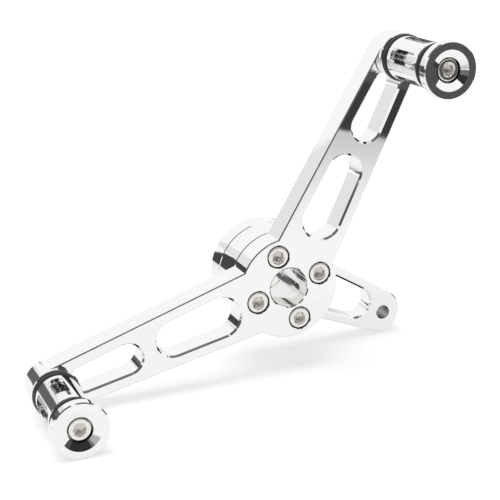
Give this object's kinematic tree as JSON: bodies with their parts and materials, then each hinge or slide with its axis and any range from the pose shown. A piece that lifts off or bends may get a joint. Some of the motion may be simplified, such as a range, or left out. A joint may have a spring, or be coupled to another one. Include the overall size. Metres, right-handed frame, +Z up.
{
  "type": "heel toe shift lever",
  "caption": "Flat V-shaped heel and toe shift lever with slotted arms, a bolted hub stack around a pivot bore, a rear rod arm and a round windowed foot peg on each end.",
  "frame": {"origin": "centre of the pivot bore, half way through the three-layer hub stack", "axes": "+Y along the pivot bore, away from the rider's boot; +Z up; the foot pegs stand out towards -Y; the toe arm points to -X, the heel arm up towards +X"},
  "size_m": [0.2017, 0.0895, 0.1608],
  "materials": {
    "chromed_billet": "polished chrome",
    "screw_steel": "satin stainless",
    "o_ring_rubber": "satin black"
  },
  "bodies": {
    "root": {"lever_plate": "chromed_billet", "hub_spacer": "chromed_billet", "shift_rod_arm": "chromed_billet", "hub_bolts": "screw_steel", "toe_flange": "chromed_billet", "toe_inner_o_ring": "o_ring_rubber", "toe_sleeve": "chromed_billet", "toe_core": "chromed_billet", "toe_outer_o_ring": "o_ring_rubber", "toe_end_cap": "chromed_billet", "toe_peg_screw": "screw_steel", "heel_flange": "chromed_billet", "heel_inner_o_ring": "o_ring_rubber", "heel_sleeve": "chromed_billet", "heel_core": "chromed_billet", "heel_outer_o_ring": "o_ring_rubber", "heel_end_cap": "chromed_billet", "heel_peg_screw": "screw_steel"}
  },
  "joints": []
}
